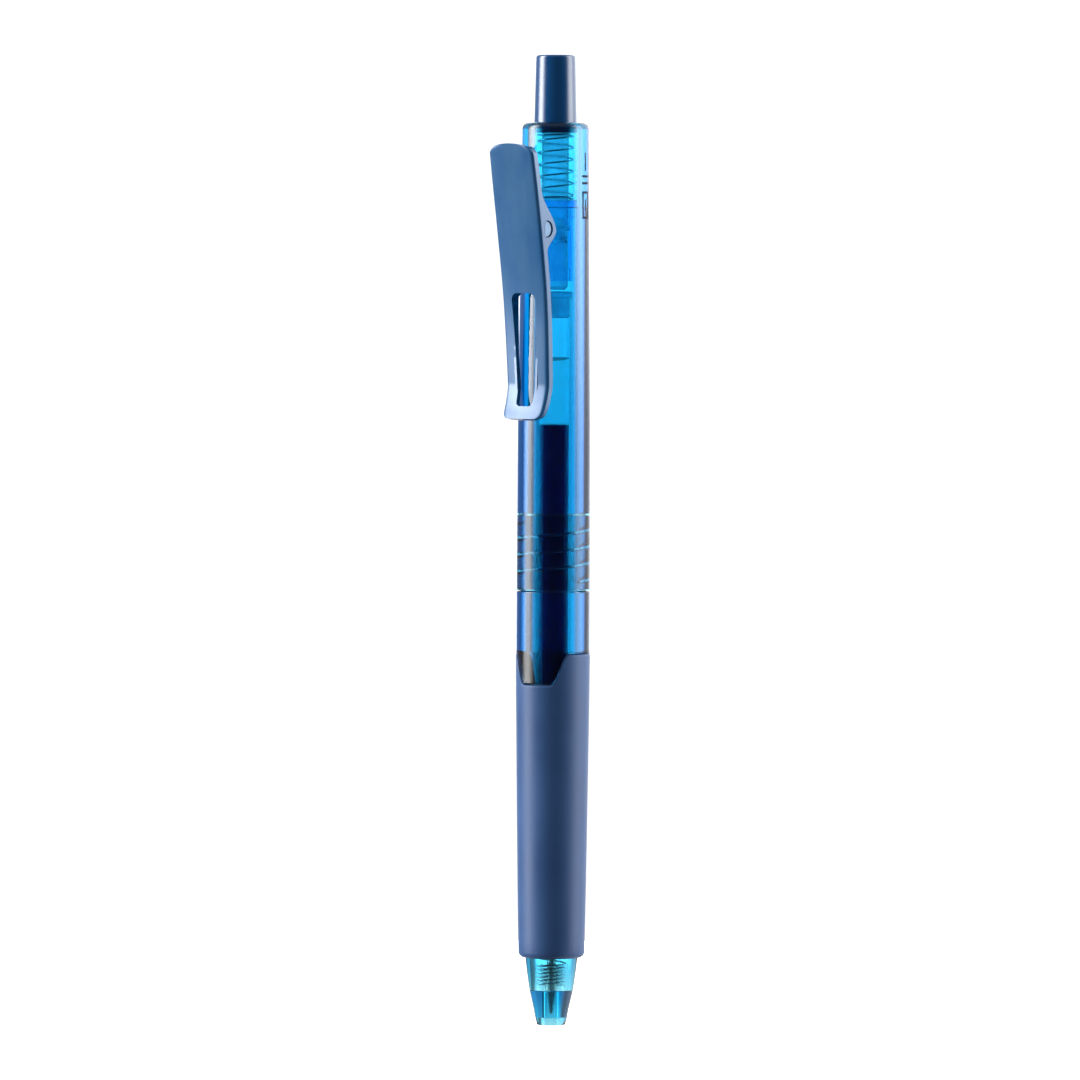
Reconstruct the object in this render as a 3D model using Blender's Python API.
"""A retractable gel pen, built as the real one comes apart on a bench.

The pen stands upright, nose down, with its long axis on Z and its clip towards -Y.
Heights are measured from the nose end; the frame's origin is on the axis, in the
middle of the grip, where the pen is held.
"""

import math

import bmesh
import bpy
from mathutils import Matrix, Vector

MM = 0.001

# The frame
GRIP_CENTRE = 32.0 * MM  # the origin's height above the nose end

# Facets round a turned piece
SHELL_FACETS = 48
CORE_FACETS = 24
MERGE = 1e-7

# Rear barrel
BARREL_TOP = 132.06 * MM
BARREL_TOP_R = 4.92 * MM
BARREL_MID = 88.0 * MM
BARREL_MID_R = 5.41 * MM
BARREL_R = 5.45 * MM
BARREL_BORE_R = 2.95 * MM
BORE_STEP = 119.6 * MM  # the guide sleeve's collar stands on this step
SHOULDER_R = 0.9 * MM
BUTTON_HOLE_R = 3.3 * MM
SHOULDER_STEPS = 4

# Screw joint between the two barrels
SEAM = 63.6 * MM
SEAM_GAP = 0.1 * MM
NECK_TOP = 74.55 * MM
NECK_R = 4.35 * MM
SOCKET_R = 4.85 * MM
SOCKET_TOP = 75.0 * MM
THREAD_PITCH = 2.43 * MM
THREAD_WIDTH = 0.56 * MM
THREAD_DEPTH = 0.36 * MM
THREAD_ROOT = 0.15 * MM  # how far a ridge's foot is sunk in its wall
THREAD_FACETS = 24
MALE_THREAD_FOOT = 66.3 * MM
MALE_THREAD_TURNS = 2.75
FEMALE_THREAD_TURNS = 2.0

# Front barrel
NOSE_R = 2.05 * MM
NOSE_RIM = (2.32 * MM, 1.0 * MM)
CONE_LOW = (2.56 * MM, 2.3 * MM)
CONE_MIDDLE = (3.2 * MM, 5.1 * MM)
CONE_HIGH = (3.62 * MM, 8.0 * MM)
CONE_TOP = 9.7 * MM
CONE_TOP_R = 3.8 * MM
CORE_FOOT = 12.0 * MM
CORE_FOOT_R = 4.0 * MM
CORE_TOP_R = 4.25 * MM
GRIP_TOP = 54.5 * MM
EXIT_R = 1.55 * MM
EXIT_DEPTH = 1.2 * MM
POINT_BORE_R = 0.95 * MM
SPRING_SEAT = 5.7 * MM
SPRING_CHAMBER_R = 2.55 * MM
SPRING_CHAMBER_TOP = 19.5 * MM
SPRING_CHAMBER_FLARE = 0.5 * MM
REFILL_BORE_R = 3.1 * MM
NECK_CHAMFER = 0.3 * MM

# The U-shaped cut in the grip, which the front barrel's tongue fills
CUT_DEPTH = 4.5 * MM
CUT_AZIMUTH = math.radians(12.0)  # from -Y towards +X
CUT_FLOOR_HALF = math.radians(22.0)
CUT_MOUTH_HALF = math.radians(56.0)

# Grip sleeve
GRIP_BOTTOM = 9.9 * MM
GRIP_GAP = 0.1 * MM
GRIP_BELOW_CUT = 48.5 * MM
GRIP_SKIN = [
    (4.45 * MM, 10.05 * MM),
    (4.8 * MM, 10.8 * MM),
    (4.87 * MM, 12.5 * MM),
    (5.01 * MM, 20.0 * MM),
    (5.23 * MM, 36.0 * MM),
    (5.38 * MM, GRIP_BELOW_CUT),
    (5.42 * MM, GRIP_TOP),
]

# Push button and plunger
BUTTON_TOP = 141.9 * MM
BUTTON_TOP_R = 2.93 * MM
BUTTON_RIM_R = 3.15 * MM
BUTTON_ROUND = 0.45 * MM
BUTTON_ROUND_STEPS = 3
BUTTON_FOOT = 130.5 * MM
FLANGE_R = 3.2 * MM
FLANGE_TOP = 131.2 * MM
STEM_R = 1.95 * MM
STEM_TOP = 139.3 * MM
STEM_FOOT = 114.8 * MM
STEM_BORE_R = 1.2 * MM
STEM_BORE_TOP = 118.0 * MM
FIT_GAP = 0.1 * MM

# Guide sleeve
COLLAR_R = 3.2 * MM
COLLAR_TOP = 120.65 * MM
COLLAR_FOOT = 119.65 * MM
SLEEVE_R = 2.65 * MM
SLEEVE_BORE_R = 2.1 * MM
SLEEVE_FOOT = 108.9 * MM
GROOVE_OVERRUN = 1.0 * MM
WINDOW_TURN = math.radians(-11.5)
WINDOW_WIDTH = 0.95 * MM
WINDOW_FOOT = 110.7 * MM
WINDOW_TOP = 117.0 * MM
LUG_WIDTH = 0.75 * MM
LUG_R = 2.55 * MM
LUG_FOOT = 116.25 * MM
LUG_TOP = 116.9 * MM
GROOVE_R = 2.42 * MM
GROOVE_WIDTH = 1.0 * MM
GROOVE_TOP = 113.0 * MM

# Cam rotor
TEETH = 4
TOOTH_HEIGHT = 0.5 * MM
ROTOR_R = 1.9 * MM
ROTOR_TOP = 114.35 * MM
ROTOR_FOOT = 107.6 * MM
ROTOR_CHAMFER = 0.4 * MM
ROTOR_PIN_R = 1.05 * MM
ROTOR_PIN_TOP = 115.9 * MM
RIB_R = 2.3 * MM
RIB_WIDTH = 0.8 * MM
RIB_FOOT = 109.4 * MM
RIB_TOP = 112.5 * MM

# Refill
TUBE_R = 2.7 * MM
TUBE_BORE_R = 2.3 * MM
TUBE_FOOT = 26.2 * MM
TUBE_TOP = 106.5 * MM
INK_R = 2.2 * MM
INK_FOOT = 30.4 * MM
INK_TOP = 87.9 * MM
FOLLOWER_TOP = 97.7 * MM
PLUG_TOP = 107.3 * MM
PLUG_FOOT = 103.5 * MM
VENT_R = 0.5 * MM
HOLDER_FOOT = 11.5 * MM
HOLDER_R = 1.55 * MM
HOLDER_FLANGE = 25.4 * MM
HOLDER_TOP = 30.0 * MM
HOLDER_TIP_R = 1.1 * MM
HOLDER_TIP_LENGTH = 1.3 * MM
HOLDER_FLANGE_LENGTH = 0.6 * MM
HOLDER_BORE_R = 0.6 * MM
INK_THREAD_GAP = 0.4 * MM
FOLLOWER_DISH = 0.5 * MM
FOLLOWER_DISH_EDGE = 0.35 * MM
FOLLOWER_DISH_SHARE = 0.6
INK_THREAD_R = 0.45 * MM
POINT_R = 0.66 * MM
POINT_TOP = 14.0 * MM
BALL_R = 0.25 * MM
BALL_HEIGHT = 2.05 * MM
POINT_SHANK = 8.7 * MM
POINT_NECK = [(0.56 * MM, 5.2 * MM), (0.5 * MM, 3.6 * MM), (0.34 * MM, 2.2 * MM)]
BALL_SEAT_R = BALL_R + 0.03 * MM
BALL_SEAT_DEPTH = 0.4 * MM
BALL_FEED_R = 0.12 * MM
BALL_FEED_FOOT = 0.6 * MM
BALL_FEED_TOP = 0.9 * MM
BALL_SPRING_BORE_R = 0.32 * MM
BALL_SPRING_BORE_FOOT = 1.1 * MM

# Springs
REAR_SPRING_R = 2.6 * MM
REAR_WIRE_R = 0.15 * MM
REAR_SPRING_FOOT = 120.82 * MM
REAR_SPRING_PITCH = 1.74 * MM
FRONT_SPRING_R = 2.05 * MM
FRONT_WIRE_R = 0.19 * MM
FRONT_SPRING_FOOT = 5.95 * MM
FRONT_SPRING_PITCH = 1.65 * MM
BALL_SPRING_R = 0.2 * MM
BALL_WIRE_R = 0.05 * MM
BALL_SPRING_FOOT = 3.3 * MM
CLIP_SPRING_R = 1.4 * MM
CLIP_WIRE_R = 0.2 * MM
CLIP_SPRING_HEIGHT = 123.0 * MM
CLIP_SPRING_FROM = 5.45 * MM
WIRE_ROUNDING = 0
CLOSED_TURN = 2.6  # the rise of a closed turn, in wire radii
REAR_TURNS = 5
FRONT_TURNS = 10
FRONT_CLOSED_TURNS = 2
BALL_SPRING_RISES = [0.9 * MM] * 7
CLIP_SPRING_PITCH = 0.9 * MM

# Clip, its bracket and its pin
CLIP_SHEET = 0.7 * MM
CLIP_CORNER_R = 0.9 * MM
CLIP_FLANGE = 1.15 * MM
CLIP_REACH = [
    (129.0 * MM, 10.6 * MM),
    (126.5 * MM, 10.25 * MM),
    (116.4 * MM, 8.58 * MM),
    (106.0 * MM, 7.15 * MM),
    (94.0 * MM, 6.35 * MM),
    (92.8 * MM, 6.4 * MM),
    (90.7 * MM, 6.85 * MM),
    (88.9 * MM, 7.4 * MM),
]
CLIP_WIDTH = [
    (129.0 * MM, 6.6 * MM),
    (127.8 * MM, 8.1 * MM),
    (110.0 * MM, 8.3 * MM),
    (93.0 * MM, 7.8 * MM),
    (90.0 * MM, 7.5 * MM),
    (88.9 * MM, 6.2 * MM),
]
CLIP_EXTRA_ROWS = (100.0 * MM, 91.2 * MM)
WING_DEPTH = 3.55 * MM
WING_TOP = 122.1 * MM
WING_MIDDLE = 116.4 * MM
WING_BOTTOM = 113.2 * MM
WING_ROWS = 5
PIVOT_HEIGHT = 116.55 * MM
PIVOT_REACH = 6.8 * MM
PIN_R = 1.08 * MM
PIN_FLAT = 0.25 * MM
PIN_LENGTH = 8.1 * MM
EYE_R = 1.25 * MM
EYE_FLAT = 0.55 * MM
BRACKET_WIDTH = 5.2 * MM
BRACKET_REACH = 7.4 * MM
BRACKET_ROOT = 4.15 * MM
BRACKET_FOOT = 113.9 * MM
BRACKET_TOP = 119.2 * MM
SLOT_TOP = 107.2 * MM
SLOT_BOTTOM = 90.7 * MM
SLOT_TOP_WIDTH = 4.4 * MM
SLOT_BOTTOM_WIDTH = 3.0 * MM
SLOT_CUT_FROM = -1.6 * MM
SLOT_CUT_DEPTH = 3.0 * MM
D_STEPS = 14
BOSS_R = 0.9 * MM
BOSS_LENGTH = 1.4 * MM
BOSS_REACH = 5.2 * MM

FINISHES = {
    "clear_blue": ((0.02, 0.42, 0.80), 0.08, 0.0),
    "grip_rubber": ((0.075, 0.12, 0.24), 0.62, 0.0),
    "button_blue": ((0.01, 0.06, 0.17), 0.22, 0.0),
    "pale_acetal": ((0.45, 0.66, 0.80), 0.40, 0.0),
    "clip_blue": ((0.06, 0.17, 0.32), 0.38, 0.7),
    "spring_steel": ((0.62, 0.64, 0.66), 0.25, 1.0),
    "clear_tube": ((0.80, 0.88, 0.92), 0.12, 0.0),
    "blue_black_ink": ((0.005, 0.012, 0.06), 0.30, 0.0),
    "clear_grease": ((0.70, 0.80, 0.82), 0.20, 0.0),
    "point_steel": ((0.70, 0.70, 0.68), 0.20, 1.0),
}


def clear_scene():
    """Removes whatever the open file holds."""
    for thing in list(bpy.data.objects):
        bpy.data.objects.remove(thing)


def finish(name):
    """The material of that name, made once."""
    made = bpy.data.materials.get(name)
    if made:
        return made
    colour, roughness, metallic = FINISHES[name]
    made = bpy.data.materials.new(name)
    made.use_nodes = True
    shader = made.node_tree.nodes["Principled BSDF"]
    shader.inputs["Base Color"].default_value = (*colour, 1.0)
    shader.inputs["Roughness"].default_value = roughness
    shader.inputs["Metallic"].default_value = metallic
    return made


def place(name, data, finish_name, parent, at=(0.0, 0.0, 0.0)):
    """Links an object that shows data, under parent, at a point in the parent's frame."""
    thing = bpy.data.objects.new(name, data)
    bpy.context.collection.objects.link(thing)
    if finish_name:
        data.materials.append(finish(finish_name))
    thing.parent = parent
    thing.location = at
    return thing


def as_mesh(name, shape, sharp=math.radians(35.0)):
    """Turns a bmesh into mesh data, smooth but for its sharp edges."""
    bmesh.ops.recalc_face_normals(shape, faces=shape.faces)
    data = bpy.data.meshes.new(name)
    shape.to_mesh(data)
    shape.free()
    data.shade_smooth()
    data.set_sharp_from_angle(angle=sharp)
    return data


def revolve(outline, facets=CORE_FACETS):
    """A bmesh of a (radius, height) outline spun round the axis.

    An outline that starts and ends on the axis is open there; any other is a closed ring.
    """
    shape = bmesh.new()
    points = [shape.verts.new((radius, 0.0, height)) for radius, height in outline]
    pairs = list(zip(points, points[1:]))
    if outline[0][0] > 0.0 or outline[-1][0] > 0.0:
        pairs.append((points[-1], points[0]))
    edges = [shape.edges.new(pair) for pair in pairs]
    bmesh.ops.spin(
        shape,
        geom=points + edges,
        cent=(0.0, 0.0, 0.0),
        axis=(0.0, 0.0, 1.0),
        angle=math.tau,
        steps=facets,
        use_merge=True,
    )
    bmesh.ops.remove_doubles(shape, verts=shape.verts, dist=MERGE)
    return shape


def arc(centre_r, centre_z, radius, start, end, steps):
    """Outline points on an arc, from one angle in degrees to another."""
    angles = [math.radians(start + (end - start) * i / steps) for i in range(steps + 1)]
    return [
        (centre_r + radius * math.cos(a), centre_z + radius * math.sin(a)) for a in angles
    ]


def shift_ring(shape, height, rule):
    """Moves the points that lie at one height up by rule(angle round the axis)."""
    for point in shape.verts:
        if abs(point.co.z - height) < MERGE:
            point.co.z += rule(math.atan2(point.co.y, point.co.x))


def cut_drop(angle):
    """How far the grip's upper edge drops at an angle, along the U-shaped cut."""
    centre = CUT_AZIMUTH - math.pi / 2.0
    away = abs((angle - centre + math.pi) % math.tau - math.pi)
    share = (away - CUT_FLOOR_HALF) / (CUT_MOUTH_HALF - CUT_FLOOR_HALF)
    share = min(max(share, 0.0), 1.0)
    return -CUT_DEPTH * (1.0 - share * share * (3.0 - 2.0 * share))


def cam_teeth(angle):
    """The height of the cam teeth at an angle: a zigzag round the rim."""
    turn = (angle / math.tau * TEETH) % 1.0
    return TOOTH_HEIGHT * abs(2.0 * turn - 1.0)


def cutter(name, shape, parent):
    """An object that only serves to cut or join another."""
    guide = place(name, as_mesh(name, shape), None, parent)
    guide.hide_render = True
    guide.display_type = "WIRE"
    return guide


def combine(target, guide, operation):
    """Adds a Boolean of the guide to the target."""
    step = target.modifiers.new(guide.name, "BOOLEAN")
    step.operation = operation
    step.solver = "EXACT"
    step.object = guide


def block(low, high, turn=0.0):
    """A box between two corners, turned round the axis."""
    shape = bmesh.new()
    bmesh.ops.create_cube(shape, size=1.0)
    size = Vector(high) - Vector(low)
    middle = (Vector(high) + Vector(low)) / 2.0
    bmesh.ops.scale(shape, verts=shape.verts, vec=size)
    bmesh.ops.translate(shape, verts=shape.verts, vec=middle)
    spin = Matrix.Rotation(turn, 3, "Z")
    bmesh.ops.rotate(shape, verts=shape.verts, cent=(0.0, 0.0, 0.0), matrix=spin)
    return shape


def ridge(root_r, crest_r, foot, turns):
    """One thread ridge: a trapezoid swept along a right-hand helix."""
    shape = bmesh.new()
    half_root = THREAD_WIDTH / 2.0
    half_crest = THREAD_WIDTH / 4.0
    corners = [
        (root_r, -half_root),
        (crest_r, -half_crest),
        (crest_r, half_crest),
        (root_r, half_root),
    ]
    points = [shape.verts.new((r, 0.0, foot + z)) for r, z in corners]
    face = shape.faces.new(points)
    steps = round(turns * THREAD_FACETS)
    bmesh.ops.spin(
        shape,
        geom=[face, *face.edges, *points],
        cent=(0.0, 0.0, 0.0),
        axis=(0.0, 0.0, 1.0),
        dvec=(0.0, 0.0, THREAD_PITCH / THREAD_FACETS),
        angle=math.tau * turns,
        steps=steps,
        use_merge=False,
    )
    bmesh.ops.remove_doubles(shape, verts=shape.verts, dist=MERGE)
    open_edges = [edge for edge in shape.edges if edge.is_boundary]
    bmesh.ops.holes_fill(shape, edges=open_edges)
    return shape


def d_section(radius, flat, length, centre):
    """A bar along X with a D-shaped section, its flat towards -Y."""
    shape = bmesh.new()
    ends = math.asin(flat / radius)
    sweep = math.pi + 2.0 * ends
    points = []
    for i in range(D_STEPS + 1):
        angle = sweep * i / D_STEPS - ends
        y = radius * math.sin(angle)
        z = radius * math.cos(angle)
        points.append(shape.verts.new((-length / 2.0, y, z)))
    face = shape.faces.new(points)
    made = bmesh.ops.extrude_face_region(shape, geom=[face])
    moved = [item for item in made["geom"] if isinstance(item, bmesh.types.BMVert)]
    bmesh.ops.translate(shape, verts=moved, vec=(length, 0.0, 0.0))
    open_edges = [edge for edge in shape.edges if edge.is_boundary]
    bmesh.ops.holes_fill(shape, edges=open_edges)
    bmesh.ops.translate(shape, verts=shape.verts, vec=centre)
    return shape


def coil(name, radius, wire_r, rises, points_per_turn):
    """Wire along a helix round Z. rises lists each turn's rise, from the foot up."""
    data = bpy.data.curves.new(name, "CURVE")
    data.dimensions = "3D"
    data.twist_mode = "MINIMUM"
    data.bevel_depth = wire_r
    data.bevel_resolution = WIRE_ROUNDING
    data.use_fill_caps = True
    heights = [0.0]
    for rise in rises:
        heights += [
            heights[-1] + rise / points_per_turn * (i + 1) for i in range(points_per_turn)
        ]
    line = data.splines.new("POLY")
    line.points.add(len(heights) - 1)
    for i, height in enumerate(heights):
        angle = math.tau * i / points_per_turn
        x = radius * math.cos(angle)
        y = radius * math.sin(angle)
        line.points[i].co = (x, y, height, 1.0)
    return data


def make_rear_barrel(pen):
    """The clear rear barrel, its clip bracket and the thread in its socket."""
    foot = SEAM + SEAM_GAP
    shoulder = BARREL_TOP - SHOULDER_R
    outline = [
        (BUTTON_HOLE_R, BARREL_TOP),
        *arc(BARREL_TOP_R - SHOULDER_R, shoulder, SHOULDER_R, 90, 0, SHOULDER_STEPS),
        (BARREL_MID_R, BARREL_MID),
        (BARREL_R, foot),
        (SOCKET_R, foot),
        (SOCKET_R, SOCKET_TOP),
        (BARREL_BORE_R, SOCKET_TOP),
        (BARREL_BORE_R, BORE_STEP),
        (BUTTON_HOLE_R, BORE_STEP),
    ]
    barrel = place(
        "rear_barrel",
        as_mesh("rear_barrel", revolve(outline, SHELL_FACETS)),
        "clear_blue",
        pen,
    )
    half = BRACKET_WIDTH / 2.0
    bracket = block(
        (-half, -BRACKET_REACH, BRACKET_FOOT), (half, -BRACKET_ROOT, BRACKET_TOP)
    )
    combine(barrel, cutter("bracket_guide", bracket, pen), "UNION")
    pin_hole = d_section(
        PIN_R + FIT_GAP,
        PIN_FLAT + FIT_GAP,
        BRACKET_WIDTH * 2.0,
        (0.0, -PIVOT_REACH, PIVOT_HEIGHT),
    )
    combine(barrel, cutter("pin_hole_guide", pin_hole, pen), "DIFFERENCE")
    boss = bmesh.new()
    lie_down = Matrix.Rotation(math.pi / 2.0, 4, "X")
    bmesh.ops.create_cone(
        boss,
        cap_ends=True,
        segments=CORE_FACETS,
        radius1=BOSS_R,
        radius2=BOSS_R,
        depth=BOSS_LENGTH,
        matrix=Matrix.Translation((0.0, -BOSS_REACH, CLIP_SPRING_HEIGHT)) @ lie_down,
    )
    combine(barrel, cutter("spring_boss_guide", boss, pen), "UNION")
    female = ridge(
        SOCKET_R + THREAD_ROOT,
        SOCKET_R - THREAD_DEPTH,
        MALE_THREAD_FOOT + THREAD_PITCH / 2.0,
        FEMALE_THREAD_TURNS,
    )
    combine(barrel, cutter("socket_thread_guide", female, pen), "UNION")
    return barrel


def make_front_barrel(pen):
    """The clear front barrel: nose cone, grip core, tongue and threaded neck."""
    outline = [
        (EXIT_R, 0.0),
        (NOSE_R, 0.0),
        NOSE_RIM,
        CONE_LOW,
        CONE_MIDDLE,
        CONE_HIGH,
        (CONE_TOP_R, CONE_TOP),
        (CORE_FOOT_R, CORE_FOOT),
        (CORE_TOP_R, GRIP_BELOW_CUT),
        (CORE_TOP_R, GRIP_TOP + SEAM_GAP),
        (BARREL_R, GRIP_TOP + SEAM_GAP),
        (BARREL_R, SEAM),
        (NECK_R, SEAM),
        (NECK_R, NECK_TOP - NECK_CHAMFER),
        (NECK_R - NECK_CHAMFER, NECK_TOP),
        (REFILL_BORE_R, NECK_TOP),
        (REFILL_BORE_R, SPRING_CHAMBER_TOP + SPRING_CHAMBER_FLARE),
        (SPRING_CHAMBER_R, SPRING_CHAMBER_TOP),
        (SPRING_CHAMBER_R, SPRING_SEAT),
        (POINT_BORE_R, SPRING_SEAT),
        (POINT_BORE_R, EXIT_DEPTH),
        (EXIT_R, EXIT_DEPTH),
    ]
    shape = revolve(outline, SHELL_FACETS)
    shift_ring(shape, GRIP_TOP + SEAM_GAP, cut_drop)
    barrel = place("front_barrel", as_mesh("front_barrel", shape), "clear_blue", pen)
    male = ridge(
        NECK_R - THREAD_ROOT, NECK_R + THREAD_DEPTH, MALE_THREAD_FOOT, MALE_THREAD_TURNS
    )
    combine(barrel, cutter("neck_thread_guide", male, pen), "UNION")
    return barrel


def make_grip(pen):
    """The rubber sleeve over the front barrel's core, with its U-shaped cut."""
    outline = [
        (CORE_TOP_R + GRIP_GAP, GRIP_TOP),
        (CORE_TOP_R + GRIP_GAP, GRIP_BELOW_CUT),
        (CORE_FOOT_R + GRIP_GAP, CORE_FOOT),
        (CONE_TOP_R + 2.0 * GRIP_GAP, GRIP_BOTTOM),
        *GRIP_SKIN,
    ]
    shape = revolve(outline, SHELL_FACETS)
    shift_ring(shape, GRIP_TOP, cut_drop)
    place("grip_sleeve", as_mesh("grip_sleeve", shape), "grip_rubber", pen)


def make_button(pen):
    """The hollow push button, with the flange that guides it in the barrel."""
    round_r = BUTTON_TOP_R - BUTTON_ROUND
    round_z = BUTTON_TOP - BUTTON_ROUND
    outline = [
        (0.0, BUTTON_TOP),
        *arc(round_r, round_z, BUTTON_ROUND, 90, 0, BUTTON_ROUND_STEPS),
        (BUTTON_RIM_R, FLANGE_TOP),
        (FLANGE_R, FLANGE_TOP),
        (FLANGE_R, BUTTON_FOOT),
        (STEM_R + FIT_GAP, BUTTON_FOOT),
        (STEM_R + FIT_GAP, STEM_TOP + FIT_GAP),
        (0.0, STEM_TOP + FIT_GAP),
    ]
    place("push_button", as_mesh("push_button", revolve(outline)), "button_blue", pen)


def make_plunger(pen):
    """The plunger under the button: a stem with cam teeth and two lugs."""
    outline = [
        (0.0, STEM_TOP),
        (STEM_R, STEM_TOP),
        (STEM_R, STEM_FOOT),
        (STEM_BORE_R, STEM_FOOT),
        (STEM_BORE_R, STEM_BORE_TOP),
        (0.0, STEM_BORE_TOP),
    ]
    shape = revolve(outline)
    shift_ring(shape, STEM_FOOT, cam_teeth)
    plunger = place("plunger", as_mesh("plunger", shape), "pale_acetal", pen)
    half = LUG_WIDTH / 2.0
    lugs = block((-LUG_R, -half, LUG_FOOT), (LUG_R, half, LUG_TOP), WINDOW_TURN)
    combine(plunger, cutter("lug_guide", lugs, pen), "UNION")


def make_guide_sleeve(pen):
    """The sleeve in the barrel: windows for the lugs, grooves for the rotor's ribs."""
    outline = [
        (SLEEVE_BORE_R, COLLAR_TOP),
        (COLLAR_R, COLLAR_TOP),
        (COLLAR_R, COLLAR_FOOT),
        (SLEEVE_R, COLLAR_FOOT),
        (SLEEVE_R, SLEEVE_FOOT),
        (SLEEVE_BORE_R, SLEEVE_FOOT),
    ]
    sleeve = place(
        "guide_sleeve", as_mesh("guide_sleeve", revolve(outline)), "clear_blue", pen
    )
    half = WINDOW_WIDTH / 2.0
    reach = SLEEVE_R * 1.3
    windows = block((-reach, -half, WINDOW_FOOT), (reach, half, WINDOW_TOP), WINDOW_TURN)
    combine(sleeve, cutter("window_guide", windows, pen), "DIFFERENCE")
    half = GROOVE_WIDTH / 2.0
    low = SLEEVE_FOOT - GROOVE_OVERRUN
    grooves = block(
        (-GROOVE_R, -half, low), (GROOVE_R, half, GROOVE_TOP), WINDOW_TURN + math.pi / 2.0
    )
    combine(sleeve, cutter("groove_guide", grooves, pen), "DIFFERENCE")


def make_rotor(pen):
    """The cam rotor: teeth that meet the plunger's, and ribs in the sleeve's grooves."""
    outline = [
        (0.0, ROTOR_PIN_TOP),
        (ROTOR_PIN_R, ROTOR_PIN_TOP),
        (ROTOR_PIN_R, ROTOR_TOP),
        (ROTOR_R, ROTOR_TOP),
        (ROTOR_R, ROTOR_FOOT + ROTOR_CHAMFER),
        (ROTOR_R - ROTOR_CHAMFER, ROTOR_FOOT),
        (0.0, ROTOR_FOOT),
    ]
    shape = revolve(outline)
    shift_ring(shape, ROTOR_TOP, cam_teeth)
    rotor = place("cam_rotor", as_mesh("cam_rotor", shape), "pale_acetal", pen)
    half = RIB_WIDTH / 2.0
    ribs = block(
        (-RIB_R, -half, RIB_FOOT), (RIB_R, half, RIB_TOP), WINDOW_TURN + math.pi / 2.0
    )
    combine(rotor, cutter("rib_guide", ribs, pen), "UNION")


def make_refill(pen):
    """The refill: tube, ink, follower, tail plug, point holder, point and ball."""
    flange_top = HOLDER_FLANGE + HOLDER_FLANGE_LENGTH
    seat = POINT_R + FIT_GAP
    seat_top = POINT_TOP + 2.0 * FIT_GAP
    thread_foot = seat_top + INK_THREAD_GAP
    outlines = {
        "refill_tube": (
            "clear_tube",
            [
                (TUBE_BORE_R, TUBE_TOP),
                (TUBE_R, TUBE_TOP),
                (TUBE_R, TUBE_FOOT),
                (TUBE_BORE_R, TUBE_FOOT),
            ],
        ),
        "ink": (
            "blue_black_ink",
            [
                (0.0, INK_TOP),
                (INK_R, INK_TOP),
                (INK_R, INK_FOOT),
                (INK_THREAD_R, INK_FOOT),
                (INK_THREAD_R, thread_foot),
                (0.0, thread_foot),
            ],
        ),
        "ink_follower": (
            "clear_grease",
            [
                (0.0, FOLLOWER_TOP - FOLLOWER_DISH),
                (INK_R * FOLLOWER_DISH_SHARE, FOLLOWER_TOP - FOLLOWER_DISH_EDGE),
                (INK_R, FOLLOWER_TOP),
                (INK_R, INK_TOP + FIT_GAP),
                (0.0, INK_TOP + FIT_GAP),
            ],
        ),
        "refill_tail_plug": (
            "pale_acetal",
            [
                (VENT_R, PLUG_TOP),
                (TUBE_R - FIT_GAP, PLUG_TOP),
                (TUBE_R - FIT_GAP, TUBE_TOP + FIT_GAP),
                (INK_R, TUBE_TOP + FIT_GAP),
                (INK_R, PLUG_FOOT),
                (VENT_R, PLUG_FOOT),
            ],
        ),
        "point_holder": (
            "clear_tube",
            [
                (seat, HOLDER_FOOT),
                (HOLDER_TIP_R, HOLDER_FOOT),
                (HOLDER_R, HOLDER_FOOT + HOLDER_TIP_LENGTH),
                (HOLDER_R, HOLDER_FLANGE),
                (TUBE_R, HOLDER_FLANGE),
                (TUBE_R, flange_top),
                (INK_R, flange_top),
                (INK_R, HOLDER_TOP),
                (HOLDER_BORE_R, HOLDER_TOP),
                (HOLDER_BORE_R, seat_top),
                (seat, seat_top),
            ],
        ),
        "metal_point": (
            "point_steel",
            [
                (BALL_SPRING_BORE_R, POINT_TOP),
                (POINT_R, POINT_TOP),
                (POINT_R, POINT_SHANK),
                *POINT_NECK,
                (BALL_SEAT_R, BALL_HEIGHT),
                (BALL_SEAT_R, BALL_HEIGHT + BALL_SEAT_DEPTH),
                (BALL_FEED_R, BALL_HEIGHT + BALL_FEED_FOOT),
                (BALL_FEED_R, BALL_HEIGHT + BALL_FEED_TOP),
                (BALL_SPRING_BORE_R, BALL_HEIGHT + BALL_SPRING_BORE_FOOT),
            ],
        ),
    }
    for name, (finish_name, outline) in outlines.items():
        place(name, as_mesh(name, revolve(outline)), finish_name, pen)
    ball = bmesh.new()
    bmesh.ops.create_icosphere(ball, subdivisions=2, radius=BALL_R)
    place(
        "writing_ball",
        as_mesh("writing_ball", ball),
        "point_steel",
        pen,
        (0.0, 0.0, BALL_HEIGHT),
    )


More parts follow.
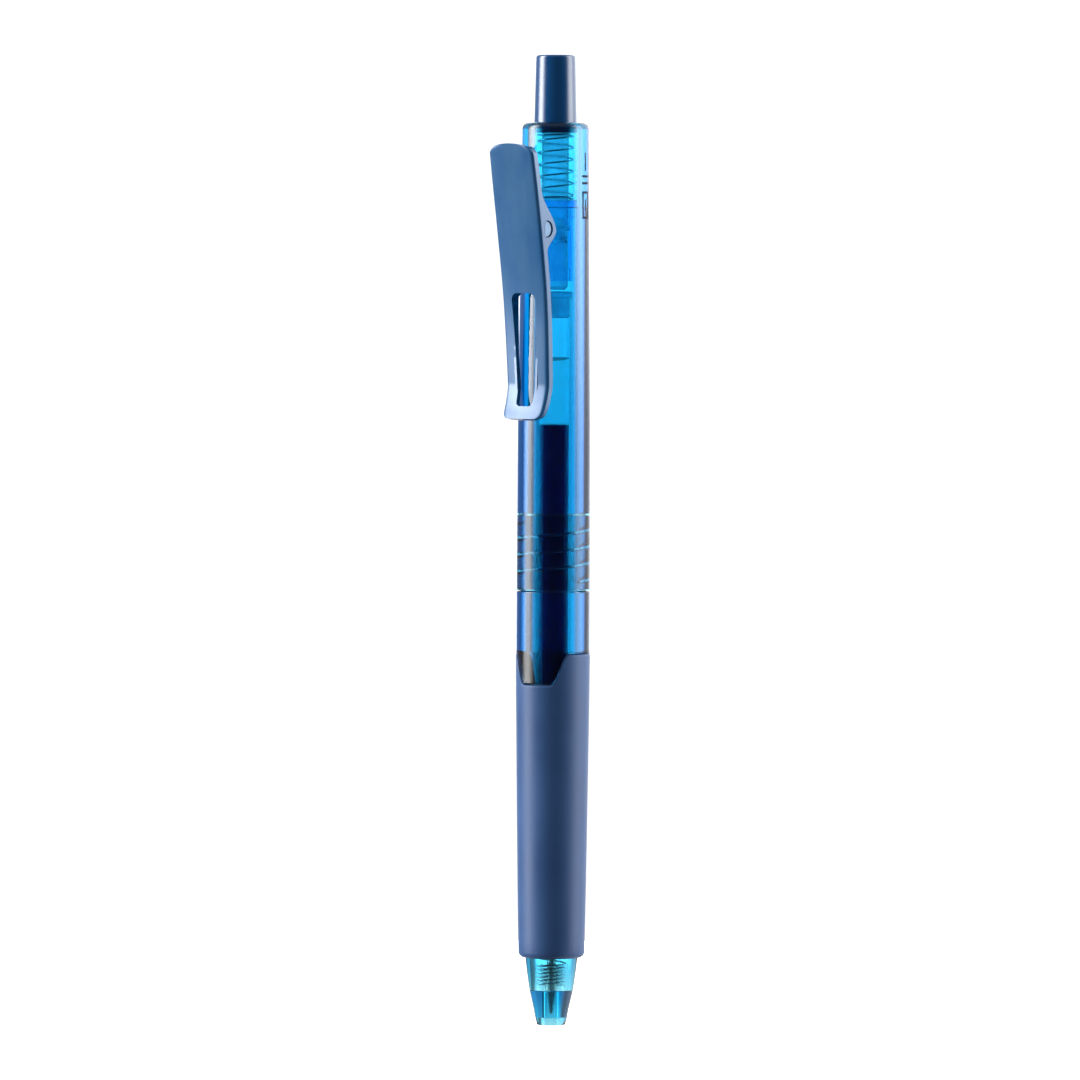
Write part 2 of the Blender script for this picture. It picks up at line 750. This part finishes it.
def make_springs(pen):
    """The four coil springs, each with closed end turns."""
    rear_end = [CLOSED_TURN * REAR_WIRE_R]
    rear = rear_end + [REAR_SPRING_PITCH] * REAR_TURNS + rear_end
    front_end = [CLOSED_TURN * FRONT_WIRE_R] * FRONT_CLOSED_TURNS
    front = front_end + [FRONT_SPRING_PITCH] * FRONT_TURNS + front_end
    clip_end = [CLOSED_TURN * CLIP_WIRE_R]
    clip_rises = clip_end + [CLIP_SPRING_PITCH] * 2 + clip_end
    rear_wire = coil("rear_spring", REAR_SPRING_R, REAR_WIRE_R, rear, 16)
    place("rear_spring", rear_wire, "spring_steel", pen, (0.0, 0.0, REAR_SPRING_FOOT))
    front_wire = coil("front_spring", FRONT_SPRING_R, FRONT_WIRE_R, front, 12)
    place("front_spring", front_wire, "spring_steel", pen, (0.0, 0.0, FRONT_SPRING_FOOT))
    tiny_wire = coil("ball_spring", BALL_SPRING_R, BALL_WIRE_R, BALL_SPRING_RISES, 8)
    place("ball_spring", tiny_wire, "spring_steel", pen, (0.0, 0.0, BALL_SPRING_FOOT))
    clip_wire = coil("clip_spring", CLIP_SPRING_R, CLIP_WIRE_R, clip_rises, 12)
    spring = place(
        "clip_spring",
        clip_wire,
        "spring_steel",
        pen,
        (0.0, -CLIP_SPRING_FROM, CLIP_SPRING_HEIGHT),
    )
    spring.rotation_euler = (math.pi / 2.0, 0.0, 0.0)


def between(height, stations):
    """A value at a height, eased between (height, value) stations that run downwards."""
    for (top, above), (bottom, below) in zip(stations, stations[1:]):
        if height >= bottom:
            share = (top - height) / (top - bottom)
            return above + (below - above) * share
    return stations[-1][1]


def flange_depth(height):
    """How deep the clip's side is at a height: a narrow flange that swells into the wing."""
    end = WING_TOP if height > WING_MIDDLE else WING_BOTTOM
    share = min(max((height - end) / (WING_MIDDLE - end), 0.0), 1.0)
    return CLIP_FLANGE + (WING_DEPTH - CLIP_FLANGE) * share * share * (3.0 - 2.0 * share)


def clip_heights():
    """The heights of the clip's rows, from its foot up: close together along the wing."""
    found = {height for table in (CLIP_REACH, CLIP_WIDTH) for height, _ in table}
    found |= set(CLIP_EXTRA_ROWS)
    for end in (WING_TOP, WING_BOTTOM):
        for i in range(WING_ROWS + 1):
            found.add(WING_MIDDLE + (end - WING_MIDDLE) * i / WING_ROWS)
    return sorted(found)


def clip_section(height):
    """Points across the clip at a height: flange, rounded corner, face, and back again."""
    half = between(height, CLIP_WIDTH) / 2.0
    reach = between(height, CLIP_REACH)
    depth = flange_depth(height)
    corner = CLIP_CORNER_R
    side = [(half, reach - depth), (half, reach - (depth + corner) / 2.0)]
    side += arc(half - corner, reach - corner, corner, 0, 90, 3)
    side.append(((half - corner) / 3.0, reach))
    return side + [(-x, r) for x, r in reversed(side)]


def make_clip(pen):
    """The sheet-metal clip on its pivot, its window, its eyes and its pin."""
    pivot = bpy.data.objects.new("clip_pivot", None)
    bpy.context.collection.objects.link(pivot)
    pivot.parent = pen
    pivot.location = (0.0, -PIVOT_REACH, PIVOT_HEIGHT)
    shape = bmesh.new()
    rows = []
    for height in clip_heights():
        local = [(x, PIVOT_REACH - r, height - PIVOT_HEIGHT) for x, r in clip_section(height)]
        rows.append([shape.verts.new(point) for point in local])
    for lower, upper in zip(rows, rows[1:]):
        for i in range(len(lower) - 1):
            shape.faces.new((lower[i], upper[i], upper[i + 1], lower[i + 1]))
    clip = place("clip", as_mesh("clip", shape), "clip_blue", pivot)
    wall = clip.modifiers.new("sheet", "SOLIDIFY")
    wall.thickness = CLIP_SHEET
    wall.offset = -1.0
    wall.use_even_offset = True
    window = bmesh.new()
    top_r = SLOT_TOP_WIDTH / 2.0
    foot_r = SLOT_BOTTOM_WIDTH / 2.0
    rim = arc(0.0, SLOT_TOP - top_r, top_r, 0, 180, 8)
    rim += arc(0.0, SLOT_BOTTOM + foot_r, foot_r, 180, 360, 8)
    ring = [window.verts.new((x, 0.0, z - PIVOT_HEIGHT)) for x, z in rim]
    made = bmesh.ops.extrude_face_region(window, geom=[window.faces.new(ring)])
    moved = [item for item in made["geom"] if isinstance(item, bmesh.types.BMVert)]
    bmesh.ops.translate(window, verts=moved, vec=(0.0, SLOT_CUT_DEPTH, 0.0))
    edges = [edge for edge in window.edges if edge.is_boundary]
    bmesh.ops.holes_fill(window, edges=edges)
    bmesh.ops.translate(window, verts=window.verts, vec=(0.0, SLOT_CUT_FROM, 0.0))
    combine(clip, cutter("window_slot_guide", window, pivot), "DIFFERENCE")
    eyes = d_section(EYE_R, EYE_FLAT, PIN_LENGTH * 1.5, (0.0, 0.0, 0.0))
    combine(clip, cutter("eye_guide", eyes, pivot), "DIFFERENCE")
    pin = d_section(PIN_R, PIN_FLAT, PIN_LENGTH, (0.0, 0.0, 0.0))
    place("clip_pin", as_mesh("clip_pin", pin), "clear_blue", pivot)


def main():
    """Builds the pen."""
    clear_scene()
    pen = bpy.data.objects.new("pen_frame", None)
    bpy.context.collection.objects.link(pen)
    pen.location = (0.0, 0.0, -GRIP_CENTRE)
    make_rear_barrel(pen)
    make_front_barrel(pen)
    make_grip(pen)
    make_button(pen)
    make_plunger(pen)
    make_guide_sleeve(pen)
    make_rotor(pen)
    make_refill(pen)
    make_springs(pen)
    make_clip(pen)


main()
